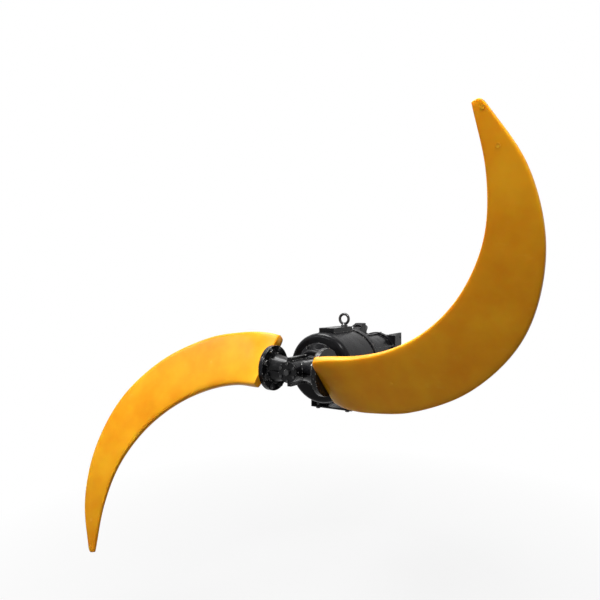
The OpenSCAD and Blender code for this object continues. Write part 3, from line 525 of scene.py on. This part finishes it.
sides = (-1, 1)
seams = {  # node, then for each seam its start x and z, end x and z, distance y to either side, radius
    "bracketWelds": ("bracket_plate", [(-0.150, -0.178, -0.150, 0.026, 0.0588, 0.0042),
                                       (-0.150, -0.178, -0.150, 0.026, 0.0692, 0.0042)]),
    "rearWelds": ("rear_plate", [(-0.185, -0.247, -0.185, -0.172, 0.1, 0.0042)]),
    "baseWelds": ("near_saddle", [(-0.743, -0.25, -0.578, -0.25, 0.1098, 0.003),
                                  (-0.738, -0.2095, -0.58, -0.2095, 0.0995, 0.0042)]),
    "padWelds": ("top_pad", [(-0.783, 0.0738, -0.585, 0.0738, 0.0402, 0.0042)]),
    "inletWelds": ("cable_inlet", [(-0.506, 0.0305, -0.388, 0.0305, 0.0243, 0.0035)]),
    "hubWelds": ("hub", [(-1.1, -0.1152, -0.968, -0.1152, 0.0102, 0.0035),
                         (-1.1, -0.0248, -0.968, -0.0248, 0.0102, 0.0035)]),
}
for name, (node, lines) in seams.items():
    beads = []
    for side in sides:
        for startX, startZ, endX, endZ, y, radius in lines:
            beads.append(straightBead((startX, side * y, startZ), (endX, side * y, endZ), radius))
    weldPiece(name, beads, node)
armSeam = {"centre": (-1.026, 0.1205, -0.07), "radius": 0.0645, "thick": 0.005}
armBeads = []
for side in sides:
    x, y, z = armSeam["centre"]
    armBeads.append(roundBead((x, side * y, z), armSeam["radius"], armSeam["thick"]))
weldPiece("armWelds", armBeads, "hub")
print("welds and mould marks made")


# washers: a round plate, inset and bridged into a ring, one per bolt head
def washerRing(name, node, places, axis, hole, outer, thick):
    clearPick()
    bpy.ops.mesh.primitive_cylinder_add(vertices=36, radius=outer, depth=thick, location=(0, 0, 0))
    washer = bpy.context.object
    selectFaces(washer, lambda face: abs(face.normal.z) > 0.9)
    bpy.ops.mesh.inset(thickness=outer - hole)
    bpy.ops.mesh.bridge_edge_loops()
    objectMode()
    softenEdges(washer, markPlan["softEdge"])
    washer.rotation_euler = Vector(axis).to_track_quat("Z", "Y").to_euler()
    settle(washer)
    copies = [washer]
    for _ in places[1:]:
        other = washer.copy()
        other.data = washer.data.copy()
        scene.collection.objects.link(other)
        copies.append(other)
    for copy, place in zip(copies, places):
        copy.location = place
        settle(copy)
    piece = joinPieces(copies, name)
    smoothByAngle()
    piece.data.materials.append(edgeFinishes[slotOf[node]])
    return keep(piece, node)


def onCircle(count, radius, start):
    turns = [start + i * math.tau / count for i in range(count)]
    return [(radius * math.cos(turn), radius * math.sin(turn)) for turn in turns]


flangePlaces = [(-0.5333, y, z - 0.085) for y, z in onCircle(12, 0.151, math.pi / 12)]
bracketPlaces = [(-0.1492, y, z) for y in (-0.09, 0.09) for z in (0.01, -0.07, -0.165)]
bladePlaces = [(x - 1.026, side * 0.1202, z - 0.07)
               for side in sides for x, z in onCircle(8, 0.08, math.pi / 8)]
washerRing("flangeWashers", "flange_bolts", flangePlaces, (1, 0, 0), 0.0052, 0.0112, 0.0016)
washerRing("bracketWashers", "bracket_bolts", bracketPlaces, (1, 0, 0), 0.0062, 0.0135, 0.002)
washerRing("bladeWashers", "blade_bolts", bladePlaces, (0, 1, 0), 0.0082, 0.0148, 0.002)
print("washers made")


# eye bolt and lead: CAD shapes, merged and smoothed
for node, name in (("eye_bolt", "eyeBolt"), ("motor_lead", "motorLead")):
    piece = copyOf(node, name)
    pick(piece)
    smoothByAngle()
    piece.data.materials.clear()
    piece.data.materials.append(finishes[slotOf[node]])
    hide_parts(node)
    keep(piece, node)


# studio: pale floor, white all round, soft lamps on each blade, small ones for the glints
studio = {
    "floorZ": -1.3, "floorSize": 80, "ambient": 0.025, "fadeFrom": 0.9, "fadeTo": 2.6,
    "lamps": {
        "keyLight": {"place": (-2.5, 1.7, 1.4), "aim": (-1.15, 0.78, -0.47),
            "size": 0.9, "power": 3.5, "spread": 44},
        "topLight": {"place": (-0.95, 0.7, 2.4), "aim": (-1.1, -0.4, 0.1),
            "size": 1.3, "power": 120},
        "frontFill": {"place": (-2.9, -1.3, 2.5), "aim": (-1.4, -0.9, 1.05),
            "size": 0.8, "power": 7, "spread": 45},
        "backRim": {"place": (0.9, 2.2, 1.7), "aim": (-0.9, 0.0, 0.0),
            "size": 1.2, "power": 14},
        "leftSpark": {"place": (-2.5, 0.75, 0.9), "aim": (-1.0, 0.0, -0.05),
            "size": 0.3, "power": 5},
        "highSpark": {"place": (-1.7, -1.1, 1.7), "aim": (-0.9, 0.0, -0.05),
            "size": 0.3, "power": 6},
    },
}
clearPick()
bpy.ops.mesh.primitive_plane_add(size=studio["floorSize"], location=(-0.6, 0, studio["floorZ"]))
floor = bpy.context.object
floor.name = "floor"
floorPaint, floorShader, floorCoords = newFinish("paleFloor", {"Base Color": (0.3, 0.3, 0.3, 1)})
wire(floorPaint, rangeOf(floorPaint, noiseOn(floorPaint, floorCoords, 3, 3), 0.3, 0.7, 0.62, 0.78),
     floorShader.inputs["Roughness"])
glow = addNode(floorPaint, "ShaderNodeEmission", {"Strength": 1.0})
mixFloor = addNode(floorPaint, "ShaderNodeMixShader")
far = addNode(floorPaint, "ShaderNodeVectorMath", operation="LENGTH")
wire(floorPaint, floorCoords, far.inputs[0])
fade = rangeOf(floorPaint, far.outputs["Value"], studio["fadeFrom"], studio["fadeTo"], 0.88, 1.0)
wire(floorPaint, times(floorPaint, shownRays(floorPaint), fade), mixFloor.inputs[0])
wire(floorPaint, floorShader.outputs[0], mixFloor.inputs[1])
wire(floorPaint, glow.outputs[0], mixFloor.inputs[2])
wire(floorPaint, mixFloor.outputs[0], floorPaint.node_tree.nodes["Material Output"].inputs[0])
floor.data.materials.append(floorPaint)

world = bpy.data.worlds.new("whiteStudio")
scene.world = world
world.use_nodes = True
sky = world.node_tree.nodes["Background"]
sky.inputs["Color"].default_value = (1, 1, 1, 1)
level = rangeOf(world, shownRays(world), 0, 1, studio["ambient"], 1)
wire(world, level, sky.inputs["Strength"])

for name, lamp in studio["lamps"].items():
    bpy.ops.object.light_add(type="AREA", location=lamp["place"])
    light = bpy.context.object
    light.name = name
    light.data.shape = "DISK"
    light.data.size = lamp["size"]
    light.data.energy = lamp["power"]
    light.data.spread = math.radians(lamp.get("spread", 180))
    aim = Vector(lamp["aim"]) - Vector(lamp["place"])
    light.rotation_euler = aim.to_track_quat("-Z", "Y").to_euler()
print("studio ready")
